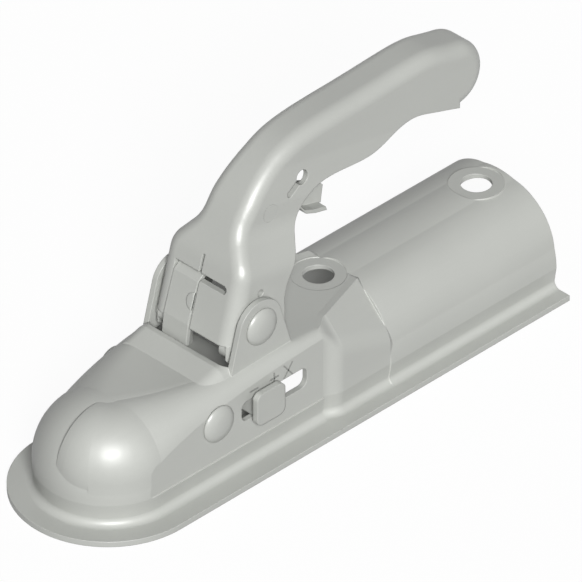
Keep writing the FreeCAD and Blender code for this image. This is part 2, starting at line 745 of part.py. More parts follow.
def tip_spot(turn, radius):
    """Point on the round tip of the grip, degrees above level."""
    return size("tip_x") + radius * cos(radians(turn)), size("tip_z") + radius * sin(radians(turn))


def crown_points():
    """Upper contour from the end of the straight web over the grip to its round tip."""
    return [(size("shoulder_x"), size("shoulder_z")), (-58.2, 78), (-64, 87.6), (-71, 96.3), (-80, 103.7),
            (-92, 109.8), (-108, 112.6), (-134, 113.6), (-155, 114.6), (-173, 114.4),
            tip_spot(size("tip_start"), size("tip_radius"))]


def contour_edges(inset, y):
    """Web, crown and tip as edges, moved in by an inset."""
    low = size("web_foot") if not inset else size("wall_foot") - 10
    crown = moved_in(crown_points(), inset)
    crown[0] = (web_line(size("shoulder_z"), inset), size("shoulder_z"))
    radius = size("tip_radius") - inset
    start, end = size("tip_start"), size("tip_end")
    crown[-1] = tip_spot(start, radius)
    way = Vector(-sin(radians(start)), 0, cos(radians(start)))
    curve = Part.BSplineCurve()
    points = [Vector(x, y, z) for x, z in crown]
    curve.interpolate(Points=points, InitialTangent=web_way(), FinalTangent=way * 12)
    tip = [Vector(x, y, z) for x, z in (tip_spot(turn, radius) for turn in (start, (start + end) / 2, end))]
    web = line_edges([(web_line(low, inset), low), crown[0]], y)
    return web + [curve.toShape(), Part.Arc(*tip).toShape()]


def hollow_points():
    """Lower contour of the grip from the tip forward, with its two finger hollows."""
    return [tip_spot(size("tip_end"), size("tip_radius")), (-180, 84), (-172, 86.6), (-160, 89.6),
            (-149, 87.6), (-138, 84.6), (-126, 84.7), (-113, 85.8), (-103, 84.6), (-96, 80.5)]


def throat_points():
    """Lower contour from the grip down to the ears."""
    return [(-96, 80.5), (-90.4, 73.8), (-83, 63.7), (-78, 55), (size("wall_rear"), size("pivot_z"))]


def spline_edge(points, y):
    curve = Part.BSplineCurve()
    curve.interpolate(Points=[Vector(x, y, z) for x, z in points])
    return curve.toShape()


def moved_in(points, distance):
    """Points moved to the left of their way by a distance."""
    moved = []
    for place, (x, z) in enumerate(points):
        before = points[max(place - 1, 0)]
        after = points[min(place + 1, len(points) - 1)]
        way = Vector(after[0] - before[0], 0, after[1] - before[1]).normalize()
        moved.append((x - way.z * distance, z + way.x * distance))
    return moved


def line_edges(points, y):
    spots = [Vector(x, y, z) for x, z in points]
    return [Part.makeLine(start, end) for start, end in zip(spots, spots[1:])]


def web_way():
    """Direction of the straight web, upward."""
    return Vector(size("shoulder_x") - size("web_x"), 0, size("shoulder_z") - size("web_foot"))


def side_slab(edges, half):
    """Closed side view at Y = -half as a solid of width 2 half."""
    return Part.Face(Part.Wire(edges)).extrude(Vector(0, 2 * half, 0))


def handle_block():
    """Side view of the handle over the foot of its web, as a solid slab."""
    half = size("handle_half") + 1
    level = size("web_foot")
    edges = contour_edges(0, -half)
    edges += [spline_edge(hollow_points(), -half), spline_edge(throat_points(), -half)]
    edges += line_edges([throat_points()[-1], (size("wall_rear"), level), (size("web_x"), level)], -half)
    return side_slab(edges, half)


def handle_foot():
    """Lower end of the handle walls, with the lobes round the cam studs."""
    cam_x, cam_z, lobe = size("cam_x"), size("cam_z"), size("cam_lobe")
    rear, foot, level = size("wall_rear"), cam_z - lobe, size("web_foot")
    half = size("handle_half")
    outline = [(rear, level), (rear, foot + 6), (rear + 5, foot + 2), (cam_x, foot, lobe),
               (cam_x + lobe, cam_z), (cam_x + lobe, level)]
    plan = rounded_box(rear - 20, size("web_x"), half, 0, level + 1, size("handle_round"))
    return slab(outline, -half, half).common(plan)


def handle_core():
    """Room under the handle's sheet, open below."""
    half = size("handle_half") + 1
    low = size("wall_foot") - 10
    edges = contour_edges(size("gauge"), -half)
    end = edges[-1].Vertexes[-1].Point
    front = edges[0].Vertexes[0].Point
    under = size("shoulder_z")
    rear = size("finger_front_x")
    floor = [(end.x, end.z), (end.x, under), (rear, under), (rear, low), (front.x, front.z)]
    edges += line_edges(floor, -half)
    return side_slab(edges, half)


def width_block(inset):
    """Plan of the handle's width: wide at the ears, joggled to the neck, narrow along the grip."""
    slope = radians(size("joggle_slope"))
    along = Vector(cos(slope), 0, sin(slope))
    across = Vector(-sin(slope), 0, cos(slope))
    wide, neck, grip = size("handle_half"), size("neck_half"), size("grip_half")
    half = [(0, wide), (size("joggle_low"), wide), (size("joggle_high"), neck), (size("neck_end"), neck),
            (size("grip_start"), grip), (2 * size("tip_z"), grip)]
    outline = [(far, width - inset) for far, width in half]
    outline += [(far, inset - width) for far, width in reversed(half)]
    rear = -1.2 * size("rear_end")
    plan = closed_wire(outline, lambda spot: across * spot.x + Vector(0, spot.y, 0) - along * rear)
    face = Part.Face(plan)
    block = face.extrude(along * rear * 1.25)
    bends = []
    for edge in block.Edges:
        far = edge.CenterOfMass.dot(across)
        lengthwise = abs(edge.tangentAt(edge.FirstParameter).dot(along)) > 0.99
        if lengthwise and size("joggle_low") - 1 < far < size("grip_start") + 1:
            bends.append(edge)
    return block.makeFillet(size("joggle_round"), bends)


def rounded_top(block, inset, radius):
    """Rounds the edges of a block that lie on the upper contour."""
    contour = Part.Compound(contour_edges(inset, 0))
    chosen = []
    for edge in block.Edges:
        middle = edge.valueAt((edge.FirstParameter + edge.LastParameter) / 2)
        lengthwise = abs(edge.tangentAt(edge.FirstParameter).y) < 0.99
        if lengthwise and Part.Vertex(middle.x, 0, middle.z).distToShape(contour)[0] < 0.05:
            chosen.append(edge)
    return block.makeFillet(radius, chosen)


def rounded_handle(block, inset):
    """Handle solid with round upper edges; the lower quarter of its tip is a rounded disc."""
    radius = size("tip_radius") - inset
    half = size("grip_half") - inset
    bend = size("handle_round") - inset
    quarter = box(size("tip_x") - 40, size("tip_x"), -40, 40, size("tip_z") - 80, size("tip_z"))
    disc = rod_along_y(size("tip_x"), size("tip_z"), radius, -half, half)
    rims = [edge for edge in disc.Edges if edge.Length > 2 * half + 1]
    tip = disc.makeFillet(bend, rims).common(quarter)
    return rounded_top(block.common(width_block(inset)).cut(quarter), inset, bend).fuse(tip)


def handle_shell():
    gauge = size("gauge")
    outer = rounded_handle(handle_block(), 0).fuse(handle_foot())
    core = rounded_handle(handle_core(), gauge)
    inside = size("handle_half") - gauge
    gap = size("side_gap")
    tip = box(size("tip_x") - 8, size("tip_x") + 1, gauge - size("grip_half"), size("grip_half") - gauge, 60,
              size("tip_z"))
    cuts = [box(-70, -30, -inside, inside, 0, size("web_foot")), tip,
            box(-60, -40, size("catch_right") - gap, size("catch_left") + gap, 0, size("slot_high")),
            long_hole(size("slot_half"), size("slot_low"), size("slot_high")),
            box(-64, -40, -1.2, 0, size("slot_high") - 1, size("slit_top"))]
    reach = size("handle_half") + 5
    for x, z, radius in ((size("pivot_x"), size("pivot_z"), size("pivot_shank") + size("bush_wall")),
                         (size("cam_x"), size("cam_z"), size("cam_shank")),
                         (size("trigger_x"), size("trigger_z"), size("trigger_shank")),
                         (size("wall_hole_x"), size("wall_hole_z"), size("wall_hole"))):
        cuts.append(rod_along_y(x, z, radius, -reach, reach))
    cuts.append(rod_along_y(size("cam_x"), size("cam_z"), size("cam_head") + gap, -inside, inside))
    cuts += lock_hole()
    return outer.cut(core).cut(cuts).removeSplitter()


def long_hole(half, z_low, z_high):
    """Long hole through the web with round ends."""
    radius = (z_high - z_low) / 2
    bar = box(-64, -40, radius - half, half - radius, z_low, z_high)
    ends = [Part.makeCylinder(radius, 24, Vector(-64, y, z_low + radius), Vector(1, 0, 0))
            for y in (radius - half, half - radius)]
    return bar.fuse(ends)


def lock_hole():
    """Keyhole for a lock: a round hole with a narrow slot, through both walls."""
    start = Vector(size("lock_x"), 0, size("lock_z"))
    end = Vector(size("lock_slot_x"), 0, size("lock_slot_z"))
    way = (end - start).normalize()
    side = Vector(way.z, 0, -way.x) * size("lock_slot")
    reach = Vector(0, 2 * size("neck_half") + 6, 0)
    corners = [start + side, end + side, end - side, start - side]
    base = [corner - reach * 0.5 for corner in corners]
    slot = Part.Face(Part.makePolygon(base + base[:1])).extrude(reach)
    half = reach.y / 2
    return [slot, rod_along_y(start.x, start.z, size("lock_hole"), -half, half),
            rod_along_y(end.x, end.z, size("lock_slot"), -half, half)]


# Turned pieces


def dome_radius(head, height):
    return f"({head}^2 + {height}^2) / (2 * {height})"


def add_rivet(label, shank, half, x, z, right_head, right_dome):
    """Rivet along Y with a domed head on both outer faces."""
    place_at(add_lathe(label, (
        ("0", f"-{half} - {right_dome}", dome_radius(right_head, right_dome)),
        (right_head, f"-{half}"),
        (shank, f"-{half}"),
        (shank, half),
        ("rivet_head", half, dome_radius("rivet_head", "rivet_dome")),
        ("0", f"{half} + rivet_dome"),
    )), x=x, z=z)


def add_ring(label, inner, outer, low, high, x, z):
    """Plain sleeve along Y."""
    corners = ((inner, low), (outer, low), (outer, high), (inner, high))
    place_at(add_lathe(label, corners), x=x, z=z)


def mirrored_span(side, near, far):
    """Span from near to far on the left side, or its mirror on the right side."""
    return (near, far) if side == "left" else (f"-({far})", f"-({near})")


def turned_pieces():
    add_rivet("jaw_pivot_rivet", "jaw_shank", "panel_half", "jaw_x", "jaw_z", "closing_head", "closing_dome")
    heads = ("rivet_head", "rivet_dome")
    add_rivet("handle_pivot_rivet", "pivot_shank", "ear_half", "pivot_x", "pivot_z", *heads)
    add_ring("trigger_pin", "0", "trigger_shank", "-neck_half", "neck_half", "trigger_x", "trigger_z")
    for side in ("left", "right"):
        low, high = mirrored_span(side, "jaw_half + side_gap", "panel_half - gauge - spacer_relief")
        add_ring(f"jaw_spacer_{side}", "jaw_shank", "jaw_shank + spacer_wall", low, high, "jaw_x", "jaw_z")
        low, high = mirrored_span(side, "handle_half - gauge - bush_proud", "handle_half + bush_proud")
        add_ring(f"pivot_bush_{side}", "pivot_shank + fit_gap", "pivot_shank + bush_wall", low, high,
                 "pivot_x", "pivot_z")
        add_cam_stud(side)
    add_round_rod("slide_stud", "stud_radius", "slide_rear - stud_length", "slide_rear")
    add_round_rod("spring_guide_rod", "stud_radius", "bracket_face", "bracket_face + rod_length")


def add_cam_stud(side):
    """Stud riveted into a handle wall; its head stands inside and pushes the slide."""
    inside, outside, tip = "handle_half - gauge", "handle_half", "handle_half - gauge - cam_length"
    corners = [("0", tip), ("cam_head", tip), ("cam_head", inside), ("cam_shank", inside),
               ("cam_shank", outside),
               ("0", outside)]
    if side == "right":
        corners = [(across, f"-({up})") for across, up in reversed(corners)]
    place_at(add_lathe(f"cam_stud_{side}", corners), x="cam_x", z="cam_z")


def add_round_rod(label, radius, rear, front):
    """Rod along X at the level of the lock spring."""
    corners = ((rear, "0"), (front, "0"), (front, radius), (rear, radius))
    place_at(add_lathe(label, corners, "H_Axis"), z="spring_z")


# Flat and bent pieces


def add_holed(body, name, x, z, radius, bore, low, high):
    """Round boss along Y with a bore."""
    half_ring = ((f"{x} - {radius}", z, radius), (f"{x} + {radius}", z, radius))
    return add_pad(body, name, half_ring, low, high, [(x, z, bore)])


def rectangle(x_low, x_high, z_low, z_high):
    return ((x_low, z_low), (x_high, z_low), (x_high, z_high), (x_low, z_high))


def add_slide_rail(side):
    """Angle welded inside a side wall; the lock slide runs on its flat leg."""
    body = new_body(f"slide_rail_{side}")
    low, high = mirrored_span(side, "rail_half", "panel_half - gauge")
    add_pad(body, f"rail_{side}_flat", rectangle("rail_rear", "rail_front", "rail_top - rail_gauge",
            "rail_top"),
            low, high)
    low, high = mirrored_span(side, "panel_half - gauge - rail_gauge", "panel_half - gauge")
    add_pad(body, f"rail_{side}_lip", rectangle("rail_rear", "rail_front", "rail_top - rail_gauge",
            "rail_lip"),
            low, high)


def add_spring_bracket():
    """Angle welded under the deck."""
    body = new_body("spring_bracket")
    under = "deck_level - gauge"
    corners = (("bracket_face - gauge", "bracket_low"), ("bracket_face", "bracket_low"),
               ("bracket_face", f"{under} - gauge"), ("bracket_face + bracket_foot", f"{under} - gauge"),
               ("bracket_face + bracket_foot", under), ("bracket_face - gauge", under))
    add_pad(body, "bracket_sheet", corners, "-bracket_half", "bracket_half")


def add_ball_jaw():
    """Jaw that closes behind and under the ball, with a heel that the slide holds."""
    body = new_body("ball_jaw")
    corners = (("jaw_lip", "jaw_foot"), ("jaw_lip + 2", "jaw_z + jaw_lug - 2"),
               ("jaw_x + 6", "jaw_z + jaw_lug"),
               ("jaw_x", "jaw_z + jaw_lug", "jaw_lug"), ("jaw_x - jaw_lug", "jaw_z"),
               ("jaw_x - jaw_lug", "heel_high"),
               ("heel_x", "heel_high"), ("heel_x", "heel_low"), ("heel_x + 5", "heel_low"),
               ("heel_x + 10", "jaw_foot"))
    bore = [("jaw_x", "jaw_z", "jaw_shank + fit_gap")]
    add_pad(body, "jaw_profile", corners, "-jaw_half", "jaw_half", bore)
    cup = body.newObject("PartDesign::SubtractiveSphere", "ball_cup")
    cup.setExpression("Radius", formula("ball_radius + ball_gap"))
    doc.recompute()


def indicator_pin_places():
    middle = "(window_low + window_high) / 2"
    return [(f"(neck_front + neck_rear) / 2 {sign} pin_pitch / 2", middle, "pin_radius") for sign in "+-"]


def add_lock_slide():
    """Sheet slide: two legs with a fork for the cam studs, a bridge, and plates in front and behind."""
    body = new_body("lock_slide")
    leg = (("slide_rear", "slide_low"), ("slide_front", "slide_low"), ("slide_front", "slide_top"),
           ("fork_face", "slide_top"), ("fork_face", "fork_top"), ("fork_face - fork_depth", "fork_top"),
           ("fork_face - fork_depth", "slide_top"), ("slide_rear", "slide_top"))
    across = "(slide_half - slide_gauge)"
    plate_top = "slide_top - slide_gauge / 2"
    add_pad(body, "slide_leg_left", leg, "slide_half - slide_gauge", "slide_half", indicator_pin_places())
    add_pad(body, "slide_leg_right", leg, "-slide_half", "slide_gauge - slide_half")
    add_pad(body, "slide_bridge", rectangle("slide_rear", "slide_front", "slide_top - slide_gauge",
            "slide_top"),
            f"-{across}", across)
    add_pad(body, "slide_front_plate", rectangle("slide_front - slide_gauge", "slide_front",
            "slide_low", plate_top),
            f"-{across}", across)
    add_pad(body, "slide_rear_plate", rectangle("slide_rear", "slide_rear + slide_gauge", "slide_low",
            plate_top),
            f"-{across}", across)


def add_indicator():
    """Moulded tab outside the window, with its neck through the window and two pins into the slide."""
    body = new_body("indicator_tab")
    tab = add_pad(body, "tab_plate", rectangle("tab_rear", "tab_front", "tab_low", "tab_high"),
                  "panel_half + tab_proud - tab_gauge", "panel_half + tab_proud")
    round_pad(body, "tab_corners", tab, "tab_corner", lambda x, z: True)
    neck = rectangle("neck_rear", "neck_front", "window_low + side_gap", "window_high - side_gap")
    pin_end = "slide_half + pin_depth"
    add_pad(body, "tab_neck", neck, pin_end, "panel_half + tab_proud - tab_gauge / 2")
    add_pad(body, "tab_neck_foot", neck, "slide_half", pin_end, indicator_pin_places())
    for name, (x, z, radius) in zip(("front", "rear"), indicator_pin_places()):
        add_ring(f"indicator_pin_{name}", "0", radius, "slide_half - slide_gauge", pin_end, x, z)


def thick_line(points, x_shift, z_shift):
    """Outline of a bent sheet: the points, and back along the same points shifted."""
    back = [(f"{x} + {x_shift}", f"{z} + {z_shift}") for x, z in reversed(points)]
    return list(points) + back


def add_trigger_lever():
    """Bent sheet lever: catch plate in the web's window, side plate, hub on the pin and finger plate."""
    body = new_body("trigger_lever")
    foot = ("catch_foot_x", "catch_foot_z")
    bend = ("catch_bend_x", "catch_bend_z")
    neck = ("catch_neck_x", "catch_neck_z")
    inner = ("catch_inner_x", "catch_inner_z")
    head = ("catch_head_x", "catch_head_z")
    # The rear face of the catch sheet is mitred at each bend.
    shifts = ((1, 0), (1, 0.2), (0.85, 0.62), (0.82, 0.65), (0.93, 0.37))
    front = (foot, bend, neck, inner, head)
    rear = [(f"{x} - {back} * lever_gauge", f"{z} - {drop} * lever_gauge")
            for (x, z), (back, drop) in zip(front, shifts)]
    add_pad(body, "catch_plate", front + tuple(reversed(rear)), "catch_right", "catch_left")
    add_pad(body, "catch_head", (inner, head, rear[4], rear[3]), "catch_right", "plate_left")
    side = (("catch_inner_x - 1", "catch_inner_z + 0.7"), ("catch_head_x - 0.3", "catch_head_z + 0.5"),
            ("trigger_x + trigger_boss * 0.87", "trigger_z + trigger_boss * 0.5", "trigger_boss"),
            ("trigger_x - trigger_boss * 0.71", "trigger_z + trigger_boss * 0.71"),
            ("finger_bend_x - 2", "finger_bend_z + 12"), ("finger_rear_x + 2", "finger_rear_z + 12"),
            ("finger_rear_x - 2.2", "finger_rear_z + 9"), ("finger_rear_x - 1", "finger_rear_z + 1"),
            ("finger_middle_x", "finger_middle_z + 1"), ("finger_bend_x", "finger_bend_z + 1"),
            ("finger_front_x + 0.5", "finger_front_z + 0.5"), ("trigger_x - 1",
            "trigger_z - trigger_boss - 0.5"),
            ("catch_inner_x - 9.5", "catch_inner_z + 2.5"))
    bore = "trigger_shank + fit_gap"
    add_pad(body, "lever_side", side, "plate_right", "plate_left", [("trigger_x", "trigger_z", bore)])
    hub_half = "(neck_half - gauge - 2 * side_gap)"
    add_holed(body, "lever_hub", "trigger_x", "trigger_z", "hub_radius", bore, f"-{hub_half}", hub_half)
    finger = [(f"finger_{place}_x", f"finger_{place}_z") for place in ("front", "bend", "middle", "rear")]
    add_pad(body, "finger_plate", thick_line(finger, "0.35 * lever_gauge", "lever_gauge"),
            "-finger_half", "finger_half")


# Springs


def add_lock_spring():
    """Compression spring between the bracket and the slide, wound about X."""
    helix = doc.addObject("Part::Helix", "lock_spring_line")
    height = "(slide_rear - bracket_face - spring_wire - 2 * side_gap)"
    helix.setExpression("Height", formula(height))
    helix.setExpression("Pitch", formula(f"{height} / spring_turns"))
    helix.setExpression("Radius", formula("spring_radius"))
    wire = doc.addObject("Part::Circle", "lock_spring_wire")
    wire.setExpression("Radius", formula("spring_wire / 2"))
    wire.setExpression("Placement.Base.x", formula("spring_radius"))
    wire.Placement.Rotation = Rotation(Vector(1, 0, 0), 90)
    spring = doc.addObject("Part::Sweep", "lock_spring")
    spring.Label = "lock_spring"
    spring.Sections = [wire]
    spring.Spine = helix
    spring.Solid = True
    spring.Frenet = True
    spring.Placement.Rotation = Rotation(Vector(0, 1, 0), 90)
    place_at(spring, x="bracket_face + spring_wire / 2 + side_gap", z="spring_z")


def add_trigger_spring():
    """Torsion spring round the lever's hub: one leg under the handle's roof, one along the lever."""
    wire = size("torsion_wire")
    radius = size("hub_radius") + wire / 2 + size("side_gap")
    pitch = wire * 1.1
    turn = 2 * pi * size("torsion_turns") + radians(size("torsion_spread"))
    rise = pitch / (2 * pi)
    start = Vector(radius, 0, 0)
    end = Vector(radius * cos(turn), radius * sin(turn), rise * turn)
    start_way = Vector(0, radius, rise).normalize()
    end_way = Vector(-end.y, end.x, rise).normalize()
    start_tip = start - start_way * size("torsion_leg")
    end_tip = end + end_way * size("torsion_leg")
    helix = Part.makeHelix(pitch, rise * turn, radius)
    path = Part.Wire([Part.makeLine(start_tip, start)] + helix.Edges + [Part.makeLine(end, end_tip)])
    ring = Part.Wire(Part.makeCircle(wire / 2, start_tip, start_way))
    start_y = size("plate_right") - rise * turn - wire
    base = Vector(size("trigger_x"), start_y, size("trigger_z"))
    along_pin = Rotation(Vector(0, 0, 1), Vector(0, 1, 0))
    add_plain("trigger_spring", path.makePipeShell([ring], True, False), Placement(base, along_pin))


# The whole head


def build_head():
    add_housing()
    add_plain("handle_shell", handle_shell())
    turned_pieces()
    for side in ("left", "right"):
        add_slide_rail(side)
    add_spring_bracket()
    add_ball_jaw()
    add_lock_slide()
    add_indicator()
    add_trigger_lever()
    add_lock_spring()
    add_trigger_spring()
    doc.recompute()


def sub_parts():
    """Pieces that are written out: bodies, plain pieces and the swept spring."""
    kinds = ("PartDesign::Body", "Part::Feature", "Part::Sweep")
    return [item for item in doc.Objects if item.TypeId in kinds]


def check_document():
    for item in doc.Objects:
        if "Invalid" in item.State or "Error" in item.State:
            raise RuntimeError(f"{item.Label} did not build")
    for part in sub_parts():
        if part.Shape.isNull() or not part.Shape.isValid() or len(part.Shape.Solids) != 1:
            raise RuntimeError(f"{part.Label} is not one sound solid")


build_head()
check_document()
os.makedirs("parts", exist_ok=True)
for part in sub_parts():
    part.Shape.exportStep(f"parts/{part.Label}.step")
    print(part.Label, round(part.Shape.Volume))
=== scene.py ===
# %% [markdown]
# Trailer coupling head.
# A coupling head joins a trailer's drawbar to the towing ball of a car. The housing is one deep-drawn steel
# pressing. A handle, a safety trigger, a ball jaw and a sprung slide work inside it.
# The solids come from CAD and stay where they are. This scene gives them their finish, and adds what a CAD
# model leaves out: the lock spring as it is really wound, the weld beads, the pushed-out boss on the catch
# plate and the stamped signs over the indicator window.

# %% Load the frame
import json
import math
import bmesh
import bpy
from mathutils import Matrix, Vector


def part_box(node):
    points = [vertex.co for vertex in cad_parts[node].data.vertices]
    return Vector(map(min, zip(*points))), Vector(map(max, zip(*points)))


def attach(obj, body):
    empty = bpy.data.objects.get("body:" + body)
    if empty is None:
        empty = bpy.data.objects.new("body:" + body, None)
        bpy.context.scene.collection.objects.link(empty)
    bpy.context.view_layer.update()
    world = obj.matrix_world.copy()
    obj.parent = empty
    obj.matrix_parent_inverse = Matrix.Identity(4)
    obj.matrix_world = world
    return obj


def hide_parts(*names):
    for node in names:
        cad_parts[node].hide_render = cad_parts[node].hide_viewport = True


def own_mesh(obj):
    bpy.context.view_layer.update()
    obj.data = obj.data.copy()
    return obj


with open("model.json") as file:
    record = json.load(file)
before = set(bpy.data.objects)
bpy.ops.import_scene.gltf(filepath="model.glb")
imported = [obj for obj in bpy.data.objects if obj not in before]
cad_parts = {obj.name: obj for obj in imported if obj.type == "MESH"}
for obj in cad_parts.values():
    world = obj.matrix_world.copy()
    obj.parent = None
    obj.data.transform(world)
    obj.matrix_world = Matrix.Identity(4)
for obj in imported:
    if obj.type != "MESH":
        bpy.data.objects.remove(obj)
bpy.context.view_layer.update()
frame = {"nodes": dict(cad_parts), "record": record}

TAU = 2 * math.pi
FLOAT = "NodeSocketFloat"

nodes = frame["nodes"]

# %% [markdown]
# A node tree is easier to read as sums than as links. The class below wraps one socket, so that
# 1 - mask * 0.5 adds the Math nodes itself. Its method node adds any other node from its kind, its settings
# and the values or links of its inputs. Shader trees and geometry trees are both written with it.


# %% Sockets that take part in sums
class Value:
    """An output socket of a node tree."""

    def __init__(self, tree, socket=None):
        self.tree = tree
        self.socket = socket

    def node(self, kind, settings=None, inputs=None, output=None):
        """Adds a node and gives the output that is asked for, or its first one."""
        made = self.tree.nodes.new(kind)
        for name, setting in (settings or {}).items():
            setattr(made, name, setting)
        for name, value in (inputs or {}).items():
            if isinstance(value, Value):
                self.tree.links.new(value.socket, made.inputs[name])
            else:
                made.inputs[name].default_value = value
        if len(made.outputs) == 0:
            return None
        return Value(self.tree, made.outputs[0 if output is None else output])

    def math(self, operation, first, second=0.0):
        return self.node("ShaderNodeMath", {"operation": operation}, {0: first, 1: second})

    def __add__(self, other):
        return self.math("ADD", self, other)

    def __radd__(self, other):
        return self.math("ADD", other, self)

    def __sub__(self, other):
        return self.math("SUBTRACT", self, other)

    def __rsub__(self, other):
        return self.math("SUBTRACT", other, self)

    def __mul__(self, other):
        return self.math("MULTIPLY", self, other)

    def __truediv__(self, other):
        return self.math("DIVIDE", self, other)

    def clamped(self):
        return self.math("MINIMUM", self.math("MAXIMUM", self, 0.0), 1.0)


# %% [markdown]
# The steel is zinc plated: an even light grey with a slight green, satin rather than shiny. Real plating is
# never one flat colour. It clouds over a few centimetres, it keeps the fine grain of the sheet, it shows
# faint lines where the sheet slid over the die, and it is brighter where hands and tools rub the edges. A
# Bevel node rounds the edges for the light only, so that each cut edge of the sheet catches a line of light
# as a deburred edge does. The same node tells where the edges are, which drives the brighter wear. The
# housing is one pressing that comes as two nodes. Where they meet there is no edge on the real thing, so a
# mask over the plane of the seam keeps the rounded normal and the wear away from it.

# %% Finish of plated steel
ZINC = (0.425, 0.434, 0.41)
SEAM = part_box("housing_rear")[1][0]
SEAM_REACH = 0.0008
GRAIN_SCALE = 1400.0
CLOUD_SCALE = 38.0
DIE_LINES = (14.0, 420.0, 420.0)
BEVEL_SAMPLES = 6
DARK_CLOUD, LIGHT_CLOUD, RUBBED = 0.93, 1.07, 1.4
EDGE_GAIN = 6.0
GRAIN_HEIGHT = 0.0002
SPECULAR = 0.6


def shade(colour, factor):
    """The colour made darker or lighter."""
    return tuple(channel * factor for channel in colour)


def tinted(colour, factor):
    """The same with the alpha that a colour socket asks for."""
    return shade(colour, factor) + (1.0,)


def new_tree(name):
    """Empty material and a value to start its tree from."""
    material = bpy.data.materials.new(name)
    material.use_nodes = True
    material.node_tree.nodes.clear()
    return material, Value(material.node_tree)


def steel(name, colour=ZINC, roughness=0.44, edge=0.0005, wear=0.3, metallic=0.05, grain_depth=0.06,
          seam=False):
    """Plated steel with clouds, sheet grain, die lines and brighter edges."""
    material, start = new_tree(name)
    place = start.node("ShaderNodeTexCoord", output="Object")
    along = start.node("ShaderNodeSeparateXYZ", inputs={"Vector": place}, output="X")
    kept = start.math("GREATER_THAN", start.math("ABSOLUTE", along - SEAM), SEAM_REACH) if seam else 1.0
    cloud = start.node("ShaderNodeTexNoise", inputs={"Vector": place, "Scale": CLOUD_SCALE, "Detail": 3.0})
    grain = start.node("ShaderNodeTexNoise", inputs={"Vector": place, "Scale": GRAIN_SCALE, "Detail": 2.0})
    drawn = start.node("ShaderNodeMapping", inputs={"Vector": place, "Scale": DIE_LINES})
    lines = start.node("ShaderNodeTexNoise", inputs={"Vector": drawn, "Scale": 1.0, "Detail": 4.0})
    flat = start.node("ShaderNodeNewGeometry", output="Normal")
    bevel = start.node("ShaderNodeBevel", {"samples": BEVEL_SAMPLES}, {"Radius": edge})
    rounded = start.node("ShaderNodeMix", {"data_type": "VECTOR"}, {0: kept, 4: flat, 5: bevel}, 1)
    facing = start.node("ShaderNodeVectorMath", {"operation": "DOT_PRODUCT"},
                        {0: rounded, 1: flat}, "Value")
    rubbed = ((1.0 - facing) * EDGE_GAIN).clamped() * wear
    tone = (0.5 + (cloud - 0.5) * 0.5 + (lines - 0.5) * 0.25 + (grain - 0.5) * 0.2).clamped()
    body = start.node("ShaderNodeMix", {"data_type": "RGBA"},
                      {0: tone, 6: tinted(colour, DARK_CLOUD), 7: tinted(colour, LIGHT_CLOUD)}, 2)
    skin = start.node("ShaderNodeMix", {"data_type": "RGBA"},
                      {0: rubbed, 6: body, 7: tinted(colour, RUBBED)}, 2)
    gloss = (roughness + (cloud - 0.5) * 0.1 + (lines - 0.5) * 0.12 - rubbed * 0.1).clamped()
    bump = start.node("ShaderNodeBump", inputs={
        "Strength": grain_depth, "Distance": GRAIN_HEIGHT, "Height": grain * 0.5 + lines * 0.5,
        "Normal": rounded})
    surface = start.node("ShaderNodeBsdfPrincipled", inputs={
        "Base Color": skin, "Roughness": gloss, "Metallic": metallic, "Specular IOR Level": SPECULAR,
        "Normal": bump})
    start.node("ShaderNodeOutputMaterial", inputs={"Surface": surface})
    return material


# %% [markdown]
# Each family of pieces has its own steel. The pressings share one plating, the rivets are a little shinier
# because their heads were formed after plating, the hidden pieces are duller, and the jaw is forged. The
# bushes are sintered bronze and the indicator tab is moulded plastic in the grey of the housing.

# %% Give each node its finish
PEBBLE_SCALE = 2600.0
PEBBLE_HEIGHT = 0.0001
FLOW_SCALE = 90.0
MOULD_ROUND = 0.0009


def moulded(name, colour, roughness):
    """Moulded plastic: a fine even texture and no metal."""
    material, start = new_tree(name)
    place = start.node("ShaderNodeTexCoord", output="Object")
    pebble = start.node("ShaderNodeTexNoise", inputs={"Vector": place, "Scale": PEBBLE_SCALE, "Detail": 1.0})
    flow = start.node("ShaderNodeTexNoise", inputs={"Vector": place, "Scale": FLOW_SCALE, "Detail": 2.0})
    rounded = start.node("ShaderNodeBevel", {"samples": BEVEL_SAMPLES}, {"Radius": MOULD_ROUND})
    skin = start.node("ShaderNodeMix", {"data_type": "RGBA"},
                      {0: flow, 6: tinted(colour, 0.95), 7: tinted(colour, 1.05)}, 2)
    bump = start.node("ShaderNodeBump", inputs={
        "Strength": 0.08, "Distance": PEBBLE_HEIGHT, "Height": pebble, "Normal": rounded})
    surface = start.node("ShaderNodeBsdfPrincipled", inputs={
        "Base Color": skin, "Roughness": roughness + (flow - 0.5) * 0.1, "Normal": bump})
    start.node("ShaderNodeOutputMaterial", inputs={"Surface": surface})
    return material


finishes = {
    "housing": steel("housing_steel", seam=True),
    "handle": steel("handle_steel", roughness=0.4),
    "trigger": steel("trigger_steel"),
    "rivets": steel("rivet_steel", roughness=0.34, edge=0.0002),
    "inner_steel": steel("inner_steel", shade(ZINC, 0.85)),
    "jaw": steel("forged_steel", (0.2, 0.205, 0.2), edge=0.0008, grain_depth=0.25),
    "bush": steel("sintered_bronze", (0.42, 0.29, 0.13), roughness=0.5, edge=0.0002,
                  metallic=0.8),
    "spring_steel": steel("spring_wire", (0.14, 0.145, 0.15), roughness=0.4, edge=0.0001,
                          metallic=0.6),
    "indicator": moulded("indicator_plastic", ZINC, 0.55),
}
slots = {entry["node"]: entry["material_slot"] for entry in frame["record"]["subparts"]}
for name, piece in nodes.items():
    piece.data.materials.clear()
    piece.data.materials.append(finishes[slots[name]])
print(len(finishes), "finishes on", len(nodes), "nodes")

# %% [markdown]
# A coil and a row of beads follow rules, so Geometry Nodes make them. Each tree has named inputs for its
# sizes. The helpers open a tree with its inputs, read one of them, end the tree, and run it to keep its
# result as a plain mesh, because the export doesn't keep instances or live modifiers.


